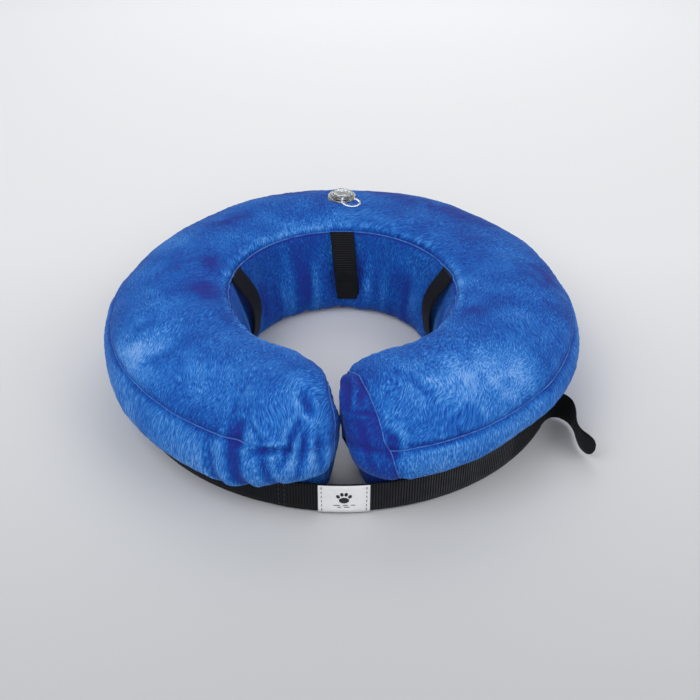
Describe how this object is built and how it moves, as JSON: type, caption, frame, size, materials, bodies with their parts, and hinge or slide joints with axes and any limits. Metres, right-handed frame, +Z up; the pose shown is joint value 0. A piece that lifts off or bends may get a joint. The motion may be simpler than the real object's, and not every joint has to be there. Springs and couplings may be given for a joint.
{
  "type": "inflatable recovery collar",
  "caption": "C-shaped inflatable recovery collar for a pet: plush-covered air ring with webbing loops, a hook-and-loop strap across the front gap and a clear inflation valve.",
  "frame": {"origin": "centre of the neck opening, on the plane the ring rests on", "axes": "+Z up through the neck opening, front gap and strap towards -Y, valve and zip towards +Y, +X to the right as seen from the front"},
  "size_m": [0.3782, 0.3749, 0.0899],
  "materials": {
    "plush": "short-pile plush",
    "bladder_film": "soft film",
    "webbing": "ribbed webbing",
    "fastener_tape": "hook and loop tape",
    "label_cloth": "woven satin",
    "thread": "sewing thread",
    "zip_cloth": "woven tape",
    "zip_coil": "moulded coil",
    "metal": "polished",
    "clear_vinyl": "clear soft vinyl"
  },
  "bodies": {
    "back": {"cover_top_back": "plush", "cover_outer_back": "plush", "cover_bottom_back": "plush", "cover_inner_back": "plush", "bladder_back": "bladder_film", "webbing_loop_back": "webbing", "zip_tape": "zip_cloth", "zip_coil": "zip_coil", "zip_stops": "metal", "valve_flange": "clear_vinyl", "valve_collar": "clear_vinyl"},
    "left_arm": {"cover_top_left": "plush", "cover_outer_left": "plush", "cover_bottom_left": "plush", "cover_inner_left": "plush", "end_panel_left": "plush", "bladder_left": "bladder_film", "webbing_loop_left": "webbing", "strap_root": "webbing", "strap_stitches": "thread"},
    "right_arm": {"cover_top_right": "plush", "cover_outer_right": "plush", "cover_bottom_right": "plush", "cover_inner_right": "plush", "end_panel_right": "plush", "bladder_right": "bladder_film", "webbing_loop_right": "webbing", "loop_tape": "fastener_tape"},
    "strap_span": {"strap_span": "webbing", "label": "label_cloth", "label_stitches": "thread"},
    "strap_end": {"strap_end": "webbing", "hook_tape": "fastener_tape"},
    "strap_tail": {"strap_tail": "fastener_tape"},
    "zip_slider": {"zip_slider": "metal"},
    "zip_pull": {"zip_pull": "metal"},
    "valve_stem": {"valve_stem": "clear_vinyl"},
    "valve_flap": {"valve_flap": "clear_vinyl"},
    "valve_plug": {"valve_plug": "clear_vinyl", "valve_tether": "clear_vinyl"}
  },
  "joints": [
    {"name": "right_arm_spread", "type": "hinge", "parent": "back", "child": "right_arm", "pos_m": [0.10782, 0.08125, 0.045], "axis": [0, 0, 1], "range_deg": [0, 20]},
    {"name": "left_arm_spread", "type": "hinge", "parent": "back", "child": "left_arm", "pos_m": [-0.10782, 0.08125, 0.045], "axis": [0, 0, -1], "range_deg": [0, 20]},
    {"name": "strap_release", "type": "hinge", "parent": "left_arm", "child": "strap_span", "pos_m": [-0.02314, -0.17457, 0.0145], "axis": [0, 0, -1], "range_deg": [0, 60]},
    {"name": "strap_end_peel", "type": "hinge", "parent": "strap_span", "child": "strap_end", "pos_m": [0.08818, -0.15243, 0.0145], "axis": [0, 0, -1], "range_deg": [0, 60]},
    {"name": "strap_tail_flex", "type": "hinge", "parent": "strap_end", "child": "strap_tail", "pos_m": [0.15491, -0.08376, 0.0145], "axis": [0, 0, -1], "range_deg": [0, 40]},
    {"name": "zip_travel", "type": "hinge", "parent": "back", "child": "zip_slider", "pos_m": [0, 0, 0.03825], "axis": [0, 0, -1], "range_deg": [0, 48]},
    {"name": "zip_pull_swing", "type": "hinge", "parent": "zip_slider", "child": "zip_pull", "pos_m": [-0.07976, 0.17104, 0.03363], "axis": [0.9063, 0.4226, 0], "range_deg": [0, 100]},
    {"name": "valve_stem_pull", "type": "slide", "parent": "back", "child": "valve_stem", "axis": [0, 0, 1], "range_m": [0, 0.008]},
    {"name": "valve_flap_open", "type": "hinge", "parent": "valve_stem", "child": "valve_flap", "pos_m": [-0.008, 0.137, 0.07083], "axis": [0, 1, 0], "range_deg": [0, 55], "stiffness_Nm_per_rad": 0.001, "springref_deg": -17.19},
    {"name": "valve_plug_pull", "type": "slide", "parent": "valve_stem", "child": "valve_plug", "axis": [0, 0, 1], "range_m": [0, 0.012]}
  ],
  "couplings": [
    {"joint": "left_arm_spread", "follows": "right_arm_spread", "ratio": 1},
    {"joint": "strap_release", "follows": "right_arm_spread", "ratio": 3}
  ]
}
